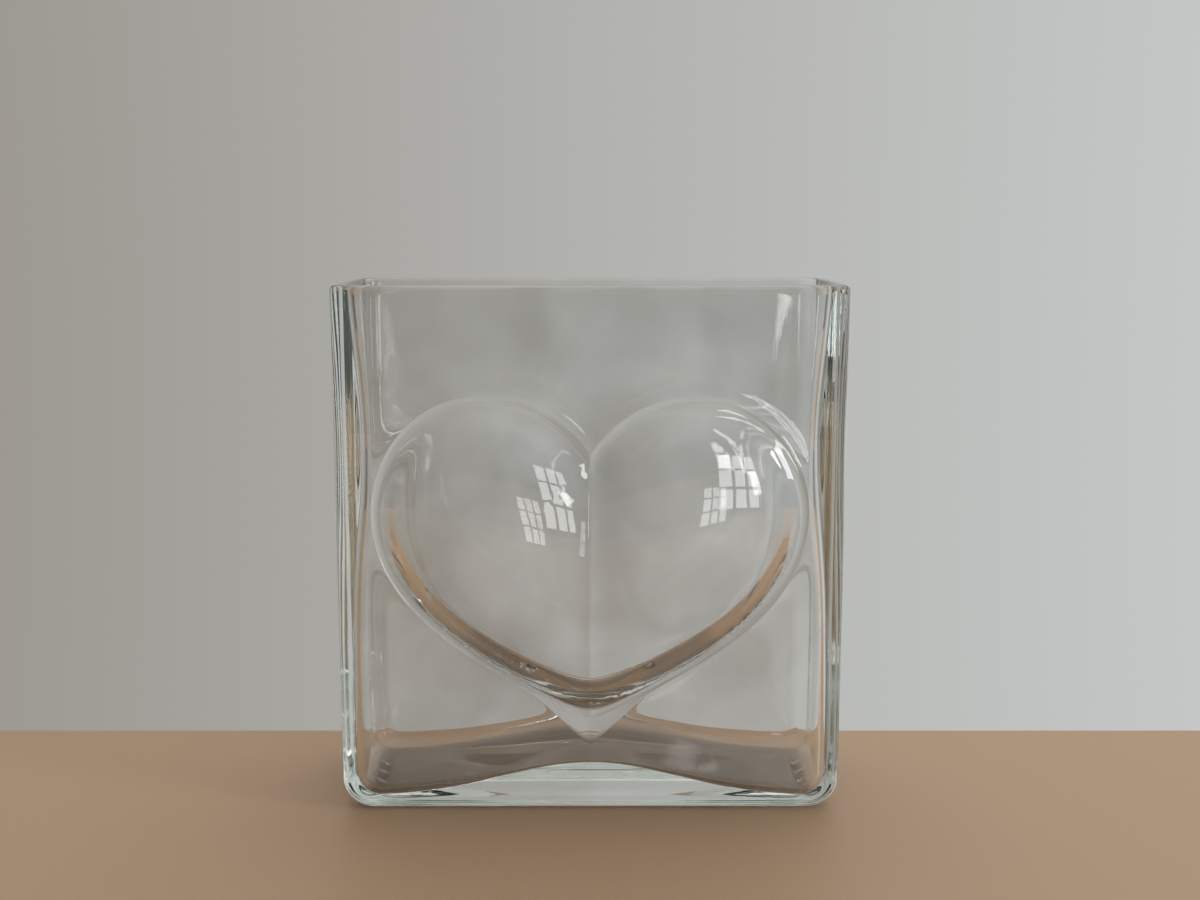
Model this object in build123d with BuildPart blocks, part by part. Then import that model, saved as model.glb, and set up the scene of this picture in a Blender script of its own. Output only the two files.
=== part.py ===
from build123d import *
import os
from math import cos, pi, radians, sin, sqrt

# A clear glass vase: a shallow, nearly square, open-topped box in one piece of
# glass, with a heart that swells out of its front wall. The hollow follows the
# heart, so the wall is about as thick there as everywhere else.
# Frame: millimetres, +Z up, the heart faces -Y, and the origin is in the middle
# of the flat face that the vase stands on.

# The box
WIDTH = 150.0                   # outside, left to right
HEIGHT = 157.5                  # outside, foot to rim
DEPTH = 55.0                    # outside, front to back, without the heart
WALL = 4.0                      # thickness of the four walls
EDGE_RADIUS = 5.5               # rounding round the front wall and the back wall
CORNER_RADIUS = 9.5             # lower corners, seen from the front
HOLLOW_EDGE_RADIUS = 6.0        # the same two inside the hollow
HOLLOW_CORNER_RADIUS = 7.0
RIM_ROUNDING = 1.2              # the rim is melted round

# The floor of the hollow is a mound, thick in the middle.
FLOOR_EDGE = 3.0                # thickness beside the side walls
FLOOR_CROWN = 13.5              # thickness in the middle
FLOOR_SHOULDER = 30.0           # distance from the middle to half that rise

# The heart is two egg-shaped lobes, mirror images that overlap in the middle.
HEART_RISE = 13.0               # how far the heart stands out of the front wall
LOBE_CENTRE = (22.4, 76.5)      # middle of the right-hand lobe, across and up
LOBE_HALF_LENGTH = 50.9         # half of its long axis, from tip to top
LOBE_HALF_WIDTH = 31.9          # half of its width at the middle
LOBE_TILT = radians(26.4)       # lean of the long axis, outwards at the top
LOBE_FULLNESS = 0.461           # widens the top and narrows the tip
LOBE_TUCK = -0.239              # narrows both ends
SUMMIT_LIFT = 0.15              # the summit is above the middle by this share of the length
HOLLOW_INSET = 4.5              # the hollow's lobe is smaller all round by this much

OUTLINE_POINTS = 24
DOME_ANGLES = (90, 80, 68, 53, 37, 21, 7)   # lobe sections from foot to summit, degrees


def lobe_outline(inset, level):
    """Points round the right-hand lobe: an egg at level 1, an ellipse near level 0."""
    points = []
    for step in range(OUTLINE_POINTS):
        turn = 2 * pi * step / OUTLINE_POINTS
        climb = level * cos(turn)
        up = (climb + SUMMIT_LIFT) / (1 + SUMMIT_LIFT * climb)
        out = level * sin(turn) * (1 - SUMMIT_LIFT * up) / sqrt(1 - SUMMIT_LIFT ** 2)
        swell = 1 + LOBE_FULLNESS * up + LOBE_TUCK * up ** 2
        along = (LOBE_HALF_LENGTH - inset) * up
        across = (LOBE_HALF_WIDTH - inset) * out * swell
        x = LOBE_CENTRE[0] + across * cos(LOBE_TILT) + along * sin(LOBE_TILT)
        z = LOBE_CENTRE[1] - across * sin(LOBE_TILT) + along * cos(LOBE_TILT)
        points.append((x, z))
    return points


def right_lobe(wall_distance, inset):
    """One lobe's dome, standing on a plane that is wall_distance in front of the middle."""
    with BuildPart() as lobe:
        for angle in DOME_ANGLES:
            rise = HEART_RISE * cos(radians(angle))
            with BuildSketch(Plane.XZ.offset(wall_distance + rise)):
                with BuildLine():
                    Spline(*lobe_outline(inset, sin(radians(angle))), periodic=True)
                make_face()
        loft()
    return lobe.part


inner_width = WIDTH - 2 * WALL
inner_depth = DEPTH - 2 * WALL
above_rim = HEIGHT + 1

with BuildPart() as hollow_box:
    with BuildSketch(Plane.XZ):
        with BuildLine():
            shoulder_height = (FLOOR_EDGE + FLOOR_CROWN) / 2
            floor = Spline(
                (-inner_width / 2, FLOOR_EDGE),
                (-FLOOR_SHOULDER, shoulder_height),
                (0, FLOOR_CROWN),
                (FLOOR_SHOULDER, shoulder_height),
                (inner_width / 2, FLOOR_EDGE),
                tangents=((1, 0), (1, 0)),
            )
            Polyline(
                floor @ 1,
                (inner_width / 2, above_rim),
                (-inner_width / 2, above_rim),
                floor @ 0,
            )
        profile = make_face()
        fillet(profile.vertices().group_by(Axis.Y)[0], HOLLOW_CORNER_RADIUS)
    extrude(amount=inner_depth / 2, both=True)
    hollow_edges = hollow_box.edges().filter_by(
        lambda edge: abs(abs(edge.center().Y) - inner_depth / 2) < 0.01 and edge.center().Z < HEIGHT
    )
    fillet(hollow_edges, HOLLOW_EDGE_RADIUS)

with BuildPart() as glass_vase:
    with BuildSketch(Plane.XZ):
        with Locations((0, HEIGHT / 2)):
            outline = Rectangle(WIDTH, HEIGHT)
        fillet(outline.vertices().group_by(Axis.Y)[0], CORNER_RADIUS)
    extrude(amount=DEPTH / 2, both=True)
    wall_edges = glass_vase.edges().filter_by(
        lambda edge: abs(abs(edge.center().Y) - DEPTH / 2) < 0.01 and edge.center().Z < HEIGHT - 1
    )
    fillet(wall_edges, EDGE_RADIUS)
    add(hollow_box.part, mode=Mode.SUBTRACT)
    fillet(glass_vase.edges().group_by(Axis.Z)[-1], RIM_ROUNDING)
    outer_lobe = right_lobe(DEPTH / 2, 0)
    add(outer_lobe)
    mirror(outer_lobe, about=Plane.YZ)
    hollow_lobe = right_lobe(inner_depth / 2, HOLLOW_INSET)
    add(hollow_lobe, mode=Mode.SUBTRACT)
    mirror(hollow_lobe, about=Plane.YZ, mode=Mode.SUBTRACT)

os.makedirs("parts", exist_ok=True)
glass_vase.part.label = "glass_vase"
export_step(glass_vase.part, "parts/glass_vase.step")
print("volume, cm3:", round(glass_vase.part.volume / 1000, 1))
print("box, mm:", glass_vase.part.bounding_box().size)
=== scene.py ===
from math import cos, pi, radians, sin, sqrt
from types import SimpleNamespace

import bmesh
import bpy
import numpy as np
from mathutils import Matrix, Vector


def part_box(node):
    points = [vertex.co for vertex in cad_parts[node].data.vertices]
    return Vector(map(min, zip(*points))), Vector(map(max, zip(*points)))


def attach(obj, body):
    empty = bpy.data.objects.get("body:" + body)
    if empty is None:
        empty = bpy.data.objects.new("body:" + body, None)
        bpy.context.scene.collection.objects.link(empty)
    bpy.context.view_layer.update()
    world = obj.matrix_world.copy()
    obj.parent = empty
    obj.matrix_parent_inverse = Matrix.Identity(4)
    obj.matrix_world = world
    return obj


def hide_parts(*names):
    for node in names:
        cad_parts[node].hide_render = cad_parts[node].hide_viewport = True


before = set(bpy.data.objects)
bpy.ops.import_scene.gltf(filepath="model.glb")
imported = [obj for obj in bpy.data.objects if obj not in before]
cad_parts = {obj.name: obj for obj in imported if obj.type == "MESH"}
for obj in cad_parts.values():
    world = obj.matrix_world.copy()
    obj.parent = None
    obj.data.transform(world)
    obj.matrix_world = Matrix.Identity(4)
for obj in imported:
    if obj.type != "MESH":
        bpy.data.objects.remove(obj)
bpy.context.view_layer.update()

# A square, shallow vase of clear glass with a puffy heart on its front, moulded in one piece.
# Its width, depth and height come from the frame; sizes are in millimetres until the studio.
MM = 0.001
box_low, box_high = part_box("glass_vase")
WIDTH = (box_high[0] - box_low[0]) / MM
HEIGHT = (box_high[2] - box_low[2]) / MM
DEPTH = 2 * box_high[1] / MM
HEART_RISE = (-box_low[1] - box_high[1]) / MM
WALL = 4.0
RIM_ROUNDING = 1.3

# The right lobe of the heart is an egg that leans outwards; the left one mirrors it.
LOBE_CENTRE = (22.4, 76.5)      # across and up
LOBE_HALF_LENGTH = 50.9
LOBE_HALF_WIDTH = 31.9
LOBE_TILT = radians(26.4)
LOBE_FULLNESS = 0.461           # widens the top and narrows the tip
LOBE_TUCK = -0.239              # narrows both ends
SUMMIT_LIFT = 0.15              # the summit is above the middle by this share of the length
CREASE_ROUNDING = 0.35          # between the lobes

# The fillet at the heart's foot, which runs out into a point below the tip.
FOOT_HEIGHT = {"top": 1.5, "tip": 2.2}
FOOT_RADIUS = {"top": 0.5, "tip": 1.3}
FOOT_SHARPNESS = 0.8            # 0 is a quarter round, 1 is straight
FOOT_TURN = 8.0                 # distance from the crease at which the fillet starts to turn
UPRIGHT_SHARE = 0.4             # share of the outline, from each end, that may turn
TIP_HEIGHT = 20.6               # where the point ends
TIP_SLOPE = 1.0                 # rise of its sides for each millimetre across
TIP_WIDTH = 20.0                # half the width of the stretch that the point can pull down
TIP_SOFTNESS = 1.0              # of the bend from the fillet into the point
LEAST_SQUARENESS = 0.35         # this and the next keep the fillet from stretching too far
LEAST_DESCENT = 0.2

# The hollow's side of the heart is smaller and much softer, as only the outside met the mould.
FRONT_THICKENING = 1.2          # extra thickness of the front wall
HOLLOW_RISE = 16.6              # before the softening, which lowers it
HOLLOW_INSET = 2.6
HOLLOW_SOFTNESS = 3.7
RELIEF_STEP = 0.5               # the soft heart is worked out on a grid with this step
RELIEF_RIGHT = 85.0             # and these ends
RELIEF_LOW = -20.0
RELIEF_HIGH = 180.0
LEAST_DIVISOR = 0.05            # keeps the sums beyond the heart from dividing by nothing

# The floor of the hollow is a mound, and the glass is thicker in the corners beside the lobes.
FLOOR_THICKNESS = 2.6           # beside the side walls
FLOOR_CROWN = 13.6              # in the middle
FLOOR_CROWN_WIDTH = 36.0
FLOOR_CROWN_FADE = 14.0
CORNER_FILL = 4.2               # extra thickness of the front corners
CORNER_FILL_HEIGHT = 112.0
CORNER_FILL_LENGTH = 36.0
CORNER_FILL_POWER = 8           # a higher power keeps the thick glass closer to the corner

# The underside arches, and its back edge is rounder than its front edge.
UNDERSIDE_HOLLOW = 0.9
UNDERSIDE_LEVEL = 0.01          # points lower than this lie on the underside
HEEL = 3.0                      # lift where the back wall and the underside would meet
HEEL_BACK_POWER = 6             # a higher power keeps the lift closer to the back
HEEL_DOWN_POWER = 2             # a higher power keeps it closer to the underside

# Steps of the mesh.
HALF_STEPS = 44                 # half the width
SIDE_STEPS = 96                 # height of one side, with half a lower corner
CORNER_STEPS = 20               # one lower corner
EDGE_STEPS = 14                 # one rounded edge
DEPTH_STEPS = 12                # side wall, between its rounded edges
RING_STEPS = 36                 # from a lobe's summit to its outline
RING_CROWDING = 1.15            # closer together near the outline
CREASE_STEPS = 44               # along the crease
FOOT_STEPS = 7                  # across the fillet at the heart's foot
FLAT_STEPS = 20                 # from the heart's foot to the rounded edges
FLAT_CROWDING = 1.6             # closer together near the foot
FACING_SHARE = 0.35             # how far the outline's steps face the border, not spread evenly
RIM_STEPS = 4                   # each half of the rim
MERGE_DISTANCE = 0.0005

# Steps of the searches along the lobe's outline and crease.
NEAR_SUMMIT = 0.001
SEARCH_STEPS = 720
LENGTH_POINTS = 4000
HALVINGS = 50

OUTSIDE = SimpleNamespace(
    half_width=WIDTH / 2,
    half_depth=DEPTH / 2,
    low=0.0,
    top=HEIGHT - RIM_ROUNDING,
    edge=5.5,
    corner=9.5,
)
HOLLOW = SimpleNamespace(
    half_width=WIDTH / 2 - WALL,
    half_depth=DEPTH / 2 - WALL,
    low=FLOOR_THICKNESS,
    top=HEIGHT - RIM_ROUNDING,
    edge=5.0,
    corner=8.0,
)


def ease(share):
    """Smooth step from 0 to 1."""
    share = np.clip(share, 0, 1)
    return share * share * (3 - 2 * share)


def on_plane(points, y):
    """Front view points (x, z) placed at the depth y."""
    depth = np.full(points.shape[:-1], float(y))
    return np.stack([points[..., 0], depth, points[..., 1]], -1)


# ---- the box: edges, sides and flat panels of the right half ----


def quarter_turn(steps):
    """Turns from 0 to a right angle, closer together where they meet the flat walls."""
    return pi / 4 * (1 - np.cos(np.linspace(0, pi, steps + 1)))


def frame_line(shell, inset):
    """Front view from the top corner down the side and round to the middle of the bottom."""
    middle = shell.half_width - shell.corner
    centre = shell.low + shell.corner
    radius = shell.corner - inset
    side = np.linspace(shell.top, centre, SIDE_STEPS - CORNER_STEPS // 2 + 1)[:-1]
    turn = quarter_turn(CORNER_STEPS)
    bottom = np.linspace(middle, 0, HALF_STEPS - CORNER_STEPS // 2 + 1)[1:]
    side_x = np.full(len(side), shell.half_width - inset)
    bottom_z = np.full(len(bottom), shell.low + inset)
    x = np.concatenate([side_x, middle + radius * np.cos(turn), bottom])
    z = np.concatenate([side, centre - radius * np.sin(turn), bottom_z])
    return np.stack([x, z], 1)


def box_grids(shell):
    """Rounded front edge, side and rounded back edge, from front to back."""
    turns = quarter_turn(EDGE_STEPS)
    lines = [frame_line(shell, shell.edge * (1 - sin(turn))) for turn in turns]
    depths = [shell.half_depth - shell.edge * (1 - cos(turn)) for turn in turns]
    front = np.array([on_plane(line, -depth) for line, depth in zip(lines, depths)])
    back = np.array([on_plane(line, depth) for line, depth in zip(lines, depths)])[::-1]
    side = np.array([on_plane(lines[-1], y) for y in np.linspace(-depths[-1], depths[-1], DEPTH_STEPS + 1)])
    return front, side, back


def panel(shell, y):
    """Flat panel, filled evenly between the middle line, the top and the frame line."""
    line = frame_line(shell, shell.edge)
    right = line[:SIDE_STEPS + 1]
    bottom = line[SIDE_STEPS:][::-1]
    across = np.linspace(0, 1, HALF_STEPS + 1)
    down = (shell.top - right[:, 1]) / (shell.top - right[-1, 1])
    top = np.stack([across * right[0, 0], np.full(len(across), shell.top)], 1)
    left = np.stack([np.zeros(len(down)), shell.top + down * (bottom[0, 1] - shell.top)], 1)
    u = across[:, None, None]
    v = down[None, :, None]
    ends = (1 - u) * ((1 - v) * top[0] + v * bottom[0]) + u * ((1 - v) * top[-1] + v * bottom[-1])
    filled = (1 - v) * top[:, None] + v * bottom[:, None] + (1 - u) * left[None] + u * right[None] - ends
    return on_plane(filled, y)


# ---- the heart on the outside ----


def lobe_point(level, turn):
    """Front view of the right lobe: level 0 is its summit, level 1 its outline."""
    climb = level * np.cos(turn)
    up = (climb + SUMMIT_LIFT) / (1 + SUMMIT_LIFT * climb)
    out = level * np.sin(turn) * (1 - SUMMIT_LIFT * up) / sqrt(1 - SUMMIT_LIFT ** 2)
    along = LOBE_HALF_LENGTH * up
    across = LOBE_HALF_WIDTH * out * (1 + LOBE_FULLNESS * up + LOBE_TUCK * up ** 2)
    x = LOBE_CENTRE[0] + across * cos(LOBE_TILT) + along * sin(LOBE_TILT)
    z = LOBE_CENTRE[1] - across * sin(LOBE_TILT) + along * cos(LOBE_TILT)
    return x, z


def around(sizes, turn):
    """A size that changes smoothly from the lobe's top round to its tip."""
    return sizes["tip"] + (sizes["top"] - sizes["tip"]) * (1 + np.cos(turn)) / 2


def crossing(height, start, end):
    """Where a function of one number changes sign, between start and end."""
    sign = np.sign(height(start))
    for _ in range(HALVINGS):
        middle = (start + end) / 2
        same = np.sign(height(middle)) == sign
        start = np.where(same, middle, start)
        end = np.where(same, end, middle)
    return (start + end) / 2


def crease_turns():
    """Turns at which the lobe's outline meets the crease: at the cleft, then at the tip."""
    turns = np.linspace(-pi, pi, SEARCH_STEPS + 1)
    beyond = lobe_point(1.0, turns)[0] - CREASE_ROUNDING
    found = []
    for i in np.where(np.diff(np.sign(beyond)) != 0)[0]:
        turn = crossing(lambda t: lobe_point(1.0, t)[0] - CREASE_ROUNDING, turns[i], turns[i + 1])
        found.append(float(turn))
    cleft = max(turn for turn in found if lobe_point(1.0, turn)[1] > LOBE_CENTRE[1] and turn < 0)
    tip = min(turn % (2 * pi) for turn in found if lobe_point(1.0, turn)[1] < LOBE_CENTRE[1])
    return cleft, tip


def outline_turns(cleft, tip, border):
    """Turns along the lobe's outline, shared out between even steps and facing the panel's border."""
    dense = np.linspace(cleft, tip, LENGTH_POINTS)
    x, z = lobe_point(1.0, dense)
    length = np.concatenate([[0], np.cumsum(np.hypot(np.diff(x), np.diff(z)))])
    even = np.interp(np.linspace(0, length[-1], len(border)), length, dense)
    bearing = np.unwrap(np.arctan2(x - LOBE_CENTRE[0], z - LOBE_CENTRE[1]))
    wanted = np.unwrap(np.arctan2(border[:, 0] - LOBE_CENTRE[0], border[:, 1] - LOBE_CENTRE[1]))
    wanted = (wanted - wanted[0]) / (wanted[-1] - wanted[0]) * (bearing[-1] - bearing[0]) + bearing[0]
    facing = np.interp(wanted, bearing, dense)
    return FACING_SHARE * facing + (1 - FACING_SHARE) * even


def outward_directions(turns):
    """Unit directions in the front view, square to the lobe's outline."""
    step = 1e-4
    ahead = lobe_point(1.0, turns + step)
    behind = lobe_point(1.0, turns - step)
    outwards = np.stack([behind[1] - ahead[1], ahead[0] - behind[0]], 1)
    outwards *= np.sign(outwards[len(turns) // 2, 0])
    return outwards / np.linalg.norm(outwards, axis=1)[:, None]


def foot_line(turns):
    """Outline of the fillet at the lobe's foot, which flares into a point below the tip."""
    x, z = lobe_point(1.0, turns)
    outwards = outward_directions(turns)
    # Close to the crease both lobes' fillets turn to run straight up or down.
    share = ease((x - CREASE_ROUNDING) / FOOT_TURN)[:, None]
    count = len(turns)
    upright = np.zeros((count, 2))
    upright[:int(count * UPRIGHT_SHARE), 1] = 1
    upright[int(count * (1 - UPRIGHT_SHARE)):, 1] = -1
    bent = np.abs(upright[:, 1:]) > 0
    direction = np.where(bent, (1 - share) * upright + share * outwards, outwards)
    direction /= np.linalg.norm(direction, axis=1)[:, None]
    squareness = np.maximum((direction * outwards).sum(1), LEAST_SQUARENESS)
    reach = around(FOOT_RADIUS, turns) / squareness
    # Below the tip the fillet reaches at least as far as the sides of the point.
    descent = np.maximum(TIP_SLOPE * direction[:, 0] - direction[:, 1], LEAST_DESCENT)
    to_tip = (z - TIP_HEIGHT - TIP_SLOPE * x) / descent
    longer = (reach + to_tip + np.sqrt((reach - to_tip) ** 2 + TIP_SOFTNESS ** 2)) / 2
    reach = np.where((upright[:, 1] < 0) & (x < TIP_WIDTH), longer, reach)
    return np.stack([x, z], 1) + direction * reach[:, None]


def puffy_lobe(turns, cleft, tip):
    """The lobe itself: rings from its summit to its outline and to the crease."""
    inner_turns = np.linspace(tip, cleft + 2 * pi, CREASE_STEPS + 1)[1:-1]
    crease_levels = crossing(
        lambda level: lobe_point(level, inner_turns)[0] - CREASE_ROUNDING,
        np.full(CREASE_STEPS - 1, NEAR_SUMMIT),
        np.ones(CREASE_STEPS - 1),
    )
    all_turns = np.concatenate([turns, inner_turns, [cleft + 2 * pi]])
    all_levels = np.concatenate([np.ones(len(turns)), crease_levels, [1.0]])
    rings = 1 - (1 - np.linspace(0, 1, RING_STEPS + 1)) ** RING_CROWDING
    level = np.sin(rings[:, None] * np.arcsin(all_levels)[None, :])
    x, z = lobe_point(level, np.broadcast_to(all_turns, level.shape))
    swell = np.sqrt(np.clip(1 - level ** 2, 0, 1))
    foot_height = around(FOOT_HEIGHT, all_turns)
    height = foot_height + (HEART_RISE - foot_height) * swell
    return np.stack([x, -OUTSIDE.half_depth - height, z], -1)


def heart_grids():
    """The puffy lobe, the fillet at its foot and the flat front round it."""
    line = frame_line(OUTSIDE, OUTSIDE.edge)
    top = np.linspace(0, line[0, 0], HALF_STEPS + 1)[:-1]
    border = np.vstack([np.stack([top, np.full(HALF_STEPS, OUTSIDE.top)], 1), line])
    border[:, 0] = np.sqrt(border[:, 0] ** 2 + CREASE_ROUNDING ** 2)
    cleft, tip = crease_turns()
    turns = outline_turns(cleft, tip, border)
    outline = np.stack(lobe_point(1.0, turns), 1)
    foot = foot_line(turns)
    lobe = puffy_lobe(turns, cleft, tip)

    # The fillet: part quarter round, part straight, so that its edge still shows on the flat.
    turn = np.linspace(0, pi / 2, FOOT_STEPS + 1)[:, None, None]
    away = 1 - np.cos(turn)
    fall = (1 - FOOT_SHARPNESS) * (1 - np.sin(turn)) + FOOT_SHARPNESS * (1 - away)
    fillet = on_plane(outline + away * (foot - outline), -OUTSIDE.half_depth)
    fillet[..., 1] -= around(FOOT_HEIGHT, turns) * fall[..., 0]
    spread = (np.linspace(0, 1, FLAT_STEPS + 1) ** FLAT_CROWDING)[:, None, None]
    flat = on_plane(foot + spread * (border - foot), -OUTSIDE.half_depth)

    # Squeezing the points towards the middle rounds the crease.
    grids = [lobe, fillet, flat]
    for grid in grids:
        grid[..., 0] = np.sqrt(np.clip(grid[..., 0] ** 2 - CREASE_ROUNDING ** 2, 0, None))
    return grids


# ---- the heart, the floor and the corners inside ----


def hollow_relief():
    """Height of the heart inside, on an even grid of the front view."""
    xs = np.arange(-RELIEF_RIGHT, RELIEF_RIGHT + RELIEF_STEP, RELIEF_STEP)
    zs = np.arange(RELIEF_LOW, RELIEF_HIGH + RELIEF_STEP, RELIEF_STEP)
    x, z = np.meshgrid(xs, zs, indexing="ij")
    right = np.abs(x) - LOBE_CENTRE[0]
    across = right * cos(LOBE_TILT) - (z - LOBE_CENTRE[1]) * sin(LOBE_TILT)
    up = right * sin(LOBE_TILT) + (z - LOBE_CENTRE[1]) * cos(LOBE_TILT)
    up = up / (LOBE_HALF_LENGTH - HOLLOW_INSET)
    swell = np.maximum(1 + LOBE_FULLNESS * up + LOBE_TUCK * up ** 2, LEAST_DIVISOR)
    out = across / ((LOBE_HALF_WIDTH - HOLLOW_INSET) * swell)
    lifted = (up - SUMMIT_LIFT) ** 2 + (1 - SUMMIT_LIFT ** 2) * out ** 2
    level = np.sqrt(lifted) / np.maximum(1 - SUMMIT_LIFT * up, LEAST_DIVISOR)
    height = HOLLOW_RISE * np.sqrt(np.clip(1 - level ** 2, 0, 1))
    height[np.abs(up) > 1] = 0
    return SimpleNamespace(start=(xs[0], zs[0]), height=softened(height))


def softened(height):
    """A grid of heights blurred by the softness of the hollow's heart."""
    # Beyond four times the softness the weights are next to nothing.
    far = 4 * HOLLOW_SOFTNESS
    reach = np.arange(-far, far + RELIEF_STEP, RELIEF_STEP)
    weights = np.exp(-0.5 * (reach / HOLLOW_SOFTNESS) ** 2)
    weights /= weights.sum()
    for axis in (0, 1):
        height = np.apply_along_axis(np.convolve, axis, height, weights, "same")
    return height


def spline_shares(t):
    """Shares of four neighbours in a smooth curve through the middle two."""
    return (
        ((2 - t) * t - 1) * t / 2,
        ((3 * t - 5) * t * t + 2) / 2,
        ((4 - 3 * t) * t + 1) * t / 2,
        (t - 1) * t * t / 2,
    )


def read_relief(relief, x, z):
    """Height of the relief at any point, by smooth interpolation of its grid."""
    i, across = np.divmod((x - relief.start[0]) / RELIEF_STEP, 1)
    j, up = np.divmod((z - relief.start[1]) / RELIEF_STEP, 1)
    height = 0
    for column, column_share in enumerate(spline_shares(across)):
        for row, row_share in enumerate(spline_shares(up)):
            cells = relief.height[i.astype(int) + column - 1, j.astype(int) + row - 1]
            height = height + column_share * row_share * cells
    return height


def shape_hollow(points, relief):
    """Give the plain hollow its thick front corners, its heart and the mound on its floor."""
    x, y, z = points[..., 0].copy(), points[..., 1].copy(), points[..., 2].copy()
    front = ease(-y / HOLLOW.half_depth)
    bulge = np.exp(-((z - CORNER_FILL_HEIGHT) / CORNER_FILL_LENGTH) ** 2)
    x -= CORNER_FILL * bulge * front * (x / HOLLOW.half_width) ** CORNER_FILL_POWER
    heart = read_relief(relief, x, z) * ease((-y - HOLLOW.half_depth / 2) / (HOLLOW.half_depth / 2))
    y += FRONT_THICKENING * front - heart
    mound = (FLOOR_CROWN - FLOOR_THICKNESS) * np.exp(-(x / FLOOR_CROWN_WIDTH) ** 2)
    z += mound * np.exp(-(z - FLOOR_THICKNESS) / FLOOR_CROWN_FADE)
    return np.stack([x, y, z], -1)


# ---- the whole vase ----


def lift_underside(points):
    """Arch the underside, and make its back edge rounder than its front edge."""
    x = points[..., 0] / (OUTSIDE.half_width - OUTSIDE.corner)
    y = points[..., 1] / (OUTSIDE.half_depth - OUTSIDE.edge)
    arch = np.clip(1 - x ** 2, 0, 1) * np.clip(1 - y ** 2, 0, 1)
    backwards = np.clip(points[..., 1] / OUTSIDE.half_depth, 0, 1)
    downwards = np.clip(1 - points[..., 2] / OUTSIDE.edge, 0, 1)
    lifted = points.copy()
    lifted[..., 2] += UNDERSIDE_HOLLOW * arch * (points[..., 2] < UNDERSIDE_LEVEL)
    lifted[..., 2] += HEEL * backwards ** HEEL_BACK_POWER * downwards ** HEEL_DOWN_POWER
    return lifted


def top_loop(front, box, back):
    """Top edge of a shell, from the middle of the front round to the middle of the back."""
    front_edge, side, back_edge = box
    return np.vstack([front, front_edge[1:, 0], side[1:, 0], back_edge[1:, 0], back[::-1][1:]])


def melted_rim(outer_loop, inner_loop):
    """Rounded top of the wall, from the outside over to the hollow."""
    turn = np.linspace(0, pi / 2, RIM_STEPS + 1)
    sideways = RIM_ROUNDING / WALL * (1 - np.cos(turn))
    upwards = RIM_ROUNDING * np.sin(turn)
    shares = np.concatenate([sideways, [0.5], 1 - sideways[::-1]])
    rises = np.concatenate([upwards, [RIM_ROUNDING], upwards[::-1]])
    rows = [
        outer_loop + share * (inner_loop - outer_loop) + (0, 0, rise)
        for share, rise in zip(shares, rises)
    ]
    return np.array(rows)


def vase_grids():
    """Grids of points that cover the right half of the vase."""
    front = heart_grids()
    box = [lift_underside(grid) for grid in box_grids(OUTSIDE)]
    back = panel(OUTSIDE, OUTSIDE.half_depth)
    outer_loop = top_loop(front[2][-1, :HALF_STEPS + 1], box, back[:, 0])

    relief = hollow_relief()
    hollow_front = shape_hollow(panel(HOLLOW, -HOLLOW.half_depth), relief)
    hollow_box = [shape_hollow(grid, relief) for grid in box_grids(HOLLOW)]
    hollow_back = shape_hollow(panel(HOLLOW, HOLLOW.half_depth), relief)
    inner_loop = top_loop(hollow_front[:, 0], hollow_box, hollow_back[:, 0])
    rim = melted_rim(outer_loop, inner_loop)
    return [*front, *box, back, hollow_front, *hollow_box, hollow_back, rim]


def mesh_of(name, grids):
    """One closed mesh from the grids of the right half and their mirror image, in metres."""
    points, faces = [], []
    for side in (1, -1):
        for grid in grids:
            rows, columns = grid.shape[:2]
            index = sum(map(len, points)) + np.arange(rows * columns).reshape(rows, columns)
            corners = [index[:-1, :-1], index[1:, :-1], index[1:, 1:], index[:-1, 1:]]
            faces.append(np.stack(corners, -1).reshape(-1, 4)[:, ::side])
            points.append((grid * (side, 1, 1)).reshape(-1, 3) * MM)
    mesh = bpy.data.meshes.new(name)
    mesh.from_pydata(np.vstack(points).tolist(), [], np.vstack(faces).tolist())
    shape = bmesh.new()
    shape.from_mesh(mesh)
    bmesh.ops.remove_doubles(shape, verts=shape.verts, dist=MERGE_DISTANCE * MM)
    bmesh.ops.recalc_face_normals(shape, faces=shape.faces)
    shape.to_mesh(mesh)
    shape.free()
    mesh.shade_smooth()
    return mesh


# ---- the glass: scales are per metre, wave heights in millimetres ----

TINT = (0.28, 0.50, 0.42, 1)
TINT_DENSITY = 2.2
SLOW_WAVES = {"scale": 38, "height": 0.25, "stretch": (1, 1, 1)}
DRAWN_STREAKS = {"scale": 190, "height": 0.04, "stretch": (1, 1, 0.15)}
WAVE_DETAIL = 1.5
WAVE_STRENGTH = 0.6
# Painted shade and light in the glass's colour: darker and lighter patches that stand for shadows and
# caustics on a wall behind it.
PAINTED_MOTTLE_SCALE = 26
PAINTED_MOTTLE_DETAIL = 2
PAINTED_MOTTLE_DISTORTION = 0.6
PAINTED_MOTTLE_SPAN = (0.38, 0.62)
PAINTED_SHADE_TONE = (0.86, 0.853, 0.84, 1)
PAINTED_LIGHT_TONE = (0.985, 0.985, 0.98, 1)
SMEAR_SCALE = 22
SMEAR_DETAIL = 5
SMEAR_SPAN = (0.5, 0.8)
SMEAR_ROUGHNESS = 0.03


def noise(tree, place, scale, detail, distortion=0.0):
    """Uneven values, about 0.5 on average, that change from place to place."""
    texture = tree.nodes.new("ShaderNodeTexNoise")
    texture.inputs["Scale"].default_value = scale
    texture.inputs["Detail"].default_value = detail
    texture.inputs["Distortion"].default_value = distortion
    tree.links.new(place, texture.inputs["Vector"])
    return texture.outputs["Fac"]


def ramp(tree, value, span, result=(0, 1), interpolation="LINEAR"):
    """A value that goes from one result to the other over a span."""
    spread = tree.nodes.new("ShaderNodeMapRange")
    spread.interpolation_type = interpolation
    for limit, number in zip(("From Min", "From Max", "To Min", "To Max"), (*span, *result)):
        spread.inputs[limit].default_value = number
    tree.links.new(value, spread.inputs["Value"])
    return spread.outputs["Result"]


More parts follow.
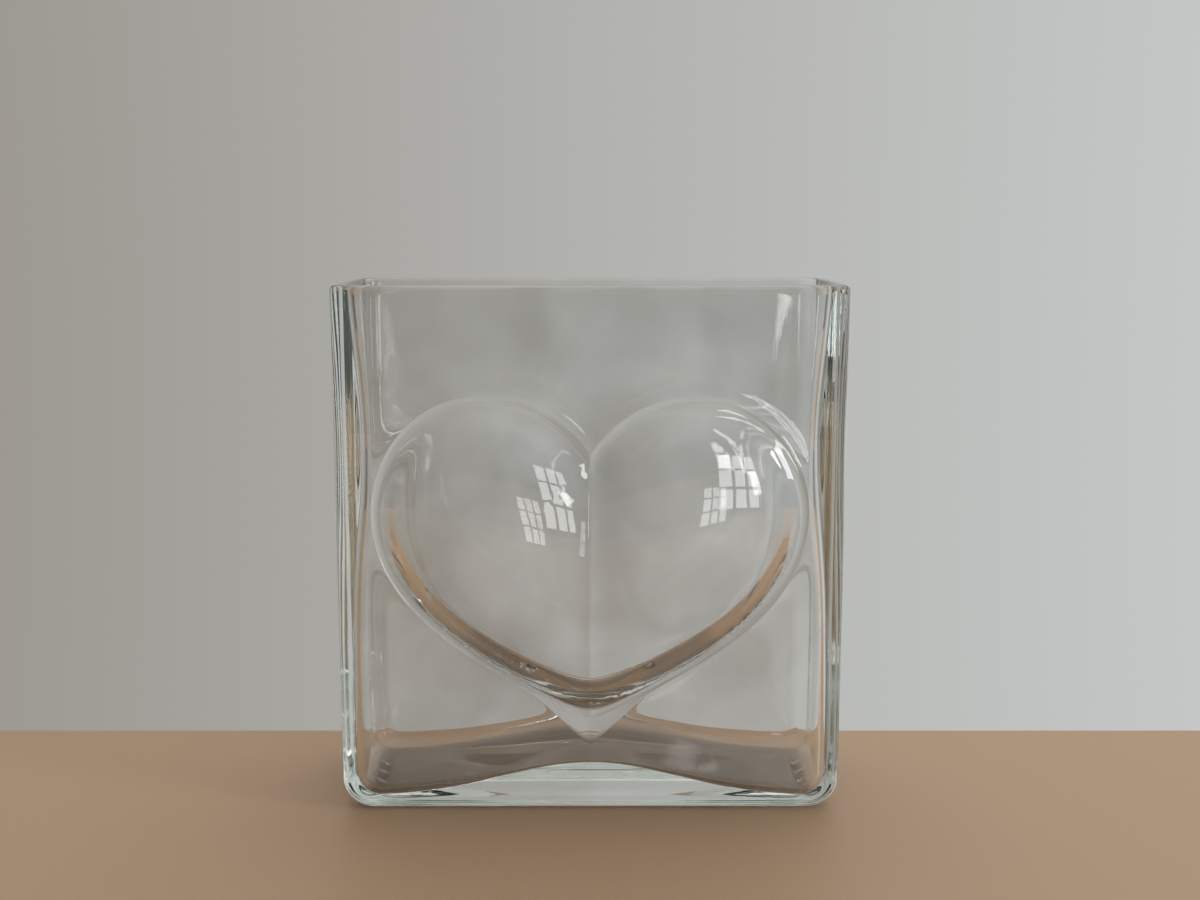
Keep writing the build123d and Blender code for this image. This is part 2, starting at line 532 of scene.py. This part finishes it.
def blend(tree, share, first, second):
    """A colour that goes from the first to the second as the share goes from 0 to 1."""
    shade = tree.nodes.new("ShaderNodeMix")
    shade.data_type = "RGBA"
    shade.inputs["A"].default_value = first
    shade.inputs["B"].default_value = second
    tree.links.new(share, shade.inputs["Factor"])
    return shade.outputs["Result"]


def wavy_normal(tree, place):
    """Waves 25 mm across, and streaks where the hot glass was drawn upwards."""
    normal = None
    for waves in (SLOW_WAVES, DRAWN_STREAKS):
        stretched = tree.nodes.new("ShaderNodeMapping")
        stretched.inputs["Scale"].default_value = waves["stretch"]
        tree.links.new(place, stretched.inputs["Vector"])
        bump = tree.nodes.new("ShaderNodeBump")
        bump.inputs["Strength"].default_value = WAVE_STRENGTH
        bump.inputs["Distance"].default_value = waves["height"] * MM
        height = noise(tree, stretched.outputs["Vector"], waves["scale"], WAVE_DETAIL)
        tree.links.new(height, bump.inputs["Height"])
        if normal:
            tree.links.new(normal, bump.inputs["Normal"])
        normal = bump.outputs["Normal"]
    return normal


def glass_material():
    """Clear glass: a trace of grey-green in its depth, a wavy surface, painted patches of shade and light,
    and faint smears.
    """
    material = bpy.data.materials.new("clear_glass")
    material.use_nodes = True
    tree = material.node_tree
    glass = tree.nodes["Principled BSDF"]
    glass.inputs["Transmission Weight"].default_value = 1.0
    glass.inputs["IOR"].default_value = 1.5
    depth_tint = tree.nodes.new("ShaderNodeVolumeAbsorption")
    depth_tint.inputs["Color"].default_value = TINT
    depth_tint.inputs["Density"].default_value = TINT_DENSITY
    tree.links.new(depth_tint.outputs["Volume"], tree.nodes["Material Output"].inputs["Volume"])

    place = tree.nodes.new("ShaderNodeTexCoord").outputs["Object"]
    tree.links.new(wavy_normal(tree, place), glass.inputs["Normal"])

    # Painted shade and light: darker and lighter patches in the glass's colour stand for the shadows and
    # caustics that it would throw on a wall behind it, and they darken the glass overall. Faint smears make
    # it a little rough in places.
    painted_mottle = noise(tree, place, PAINTED_MOTTLE_SCALE, PAINTED_MOTTLE_DETAIL, PAINTED_MOTTLE_DISTORTION)
    painted_mottle_colour = blend(tree, ramp(tree, painted_mottle, PAINTED_MOTTLE_SPAN), PAINTED_SHADE_TONE, PAINTED_LIGHT_TONE)
    tree.links.new(painted_mottle_colour, glass.inputs["Base Color"])
    smears = noise(tree, place, SMEAR_SCALE, SMEAR_DETAIL)
    roughness = ramp(tree, smears, SMEAR_SPAN, (0, SMEAR_ROUGHNESS))
    tree.links.new(roughness, glass.inputs["Roughness"])
    return material


def add_object(name, data):
    thing = bpy.data.objects.new(name, data)
    bpy.context.scene.collection.objects.link(thing)
    return thing


vase = add_object("heart_vase_glass", mesh_of("heart_vase_glass", vase_grids()))
vase.data.materials.append(glass_material())
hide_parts("glass_vase")
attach(vase, "root")


# ---- studio, in metres: a plain pale board, soft windows and pale surroundings ----

BOARD_BACK = 0.0444
BOARD_HALF_LENGTH = 0.9
BOARD_FRONT = -0.8
BOARD_THICKNESS = 0.03
BOARD_GAP = 0.0002
BOARD_COLOUR = (0.52, 0.34, 0.21, 1)
BOARD_ROUGHNESS = 0.5

# The surroundings change with the direction: X across, Y away from the camera, Z up.
LEFT_COLOUR = (0.33, 0.31, 0.28, 1)
RIGHT_COLOUR = (0.56, 0.58, 0.575, 1)
LEFT_TO_RIGHT = (-0.4, 0.4)
BEHIND_TO_AHEAD = (-0.4, 0.6)
DIMMEST = 0.2
LEVEL_TO_OVERHEAD = (0.35, 0.9)
SKY_STRENGTH = 1.2

# The front window has three rows of three panes, which the lobes reflect.
AIM = Vector((0, 0, 0.08))
PANES = 3
PANE_SIZE = (0.13, 0.165)
PANE_WATTS = 0.42
FIRST_PANE = Vector((0.45, -1.5, 0.05))
NEXT_COLUMN = Vector((0.16, 0.05, 0))
NEXT_ROW = Vector((0, 0, 0.19))
RIGHT_WINDOW = {"place": (1.5, -0.6, 0.55), "size": (0.4, 0.5), "watts": 6}
BACK_LIGHT = {"place": (0, 1.0, 1.3), "size": (1.8, 0.5), "watts": 3}


def plain_material(name, colour, roughness):
    material = bpy.data.materials.new(name)
    material.use_nodes = True
    shader = material.node_tree.nodes["Principled BSDF"]
    shader.inputs["Base Color"].default_value = colour
    shader.inputs["Roughness"].default_value = roughness
    return material


def board():
    """The floor: a thick plain board whose back edge lies a little behind the vase."""
    mesh = bpy.data.meshes.new("board")
    shape = bmesh.new()
    bmesh.ops.create_cube(shape, size=1)
    size = Vector((2 * BOARD_HALF_LENGTH, BOARD_BACK - BOARD_FRONT, BOARD_THICKNESS))
    middle = Vector((0, (BOARD_BACK + BOARD_FRONT) / 2, -BOARD_GAP - BOARD_THICKNESS / 2))
    bmesh.ops.scale(shape, vec=size, verts=shape.verts)
    bmesh.ops.translate(shape, vec=middle, verts=shape.verts)
    shape.to_mesh(mesh)
    shape.free()
    mesh.materials.append(plain_material("board", BOARD_COLOUR, BOARD_ROUGHNESS))
    return add_object("board", mesh)


def soft_window(name, place, size, watts):
    """A soft rectangular light that faces the vase and isn't seen directly."""
    light = bpy.data.lights.new(name, "AREA")
    light.shape = "RECTANGLE"
    light.size, light.size_y = size
    light.energy = watts
    lamp = add_object(name, light)
    lamp.location = place
    lamp.rotation_euler = (AIM - Vector(place)).to_track_quat("-Z", "Y").to_euler()
    lamp.visible_camera = False
    return lamp


def surroundings():
    """Light from all round: cooler and brighter on the right, dim behind the camera, bright above."""
    world = bpy.data.worlds.new("surroundings")
    world.use_nodes = True
    tree = world.node_tree
    direction = tree.nodes.new("ShaderNodeSeparateXYZ")
    tree.links.new(tree.nodes.new("ShaderNodeTexCoord").outputs["Generated"], direction.inputs["Vector"])
    sideways = ramp(tree, direction.outputs["X"], LEFT_TO_RIGHT)
    colour = blend(tree, sideways, LEFT_COLOUR, RIGHT_COLOUR)
    tree.links.new(colour, tree.nodes["Background"].inputs["Color"])
    forwards = ramp(tree, direction.outputs["Y"], BEHIND_TO_AHEAD, (DIMMEST, 1), "SMOOTHSTEP")
    upwards = ramp(tree, direction.outputs["Z"], LEVEL_TO_OVERHEAD, (0, SKY_STRENGTH), "SMOOTHSTEP")
    strength = tree.nodes.new("ShaderNodeMath")
    strength.operation = "ADD"
    tree.links.new(forwards, strength.inputs[0])
    tree.links.new(upwards, strength.inputs[1])
    tree.links.new(strength.outputs["Value"], tree.nodes["Background"].inputs["Strength"])
    bpy.context.scene.world = world


board()
surroundings()
for row in range(PANES):
    for column in range(PANES):
        place = FIRST_PANE + column * NEXT_COLUMN + row * NEXT_ROW
        soft_window(f"front_window_{row}_{column}", place, PANE_SIZE, PANE_WATTS)
soft_window("right_window", **RIGHT_WINDOW)
back_light = soft_window("back_light", **BACK_LIGHT)
back_light.visible_transmission = False


# ---- camera, in millimetres ----

SENSOR_WIDTH = 36
CAMERA_FOCAL = 44.43
CAMERA_TILT = radians(8.945)
CAMERA_HEIGHT = 176.8
CAMERA_SIDE = 2.9
CAMERA_DISTANCE = 423.2
BOUNCES = 24                    # light crosses many walls of glass

camera = add_object("camera", bpy.data.cameras.new("camera"))
camera.data.sensor_width = SENSOR_WIDTH
camera.data.lens = CAMERA_FOCAL
camera.location = Vector((CAMERA_SIDE, -DEPTH / 2 - CAMERA_DISTANCE, CAMERA_HEIGHT)) * MM
camera.rotation_euler = (pi / 2 - CAMERA_TILT, 0, 0)
bpy.context.scene.camera = camera
bpy.context.scene.view_settings.view_transform = "Standard"
bpy.context.scene.cycles.max_bounces = BOUNCES
bpy.context.scene.cycles.transmission_bounces = BOUNCES
bpy.context.scene.cycles.glossy_bounces = BOUNCES
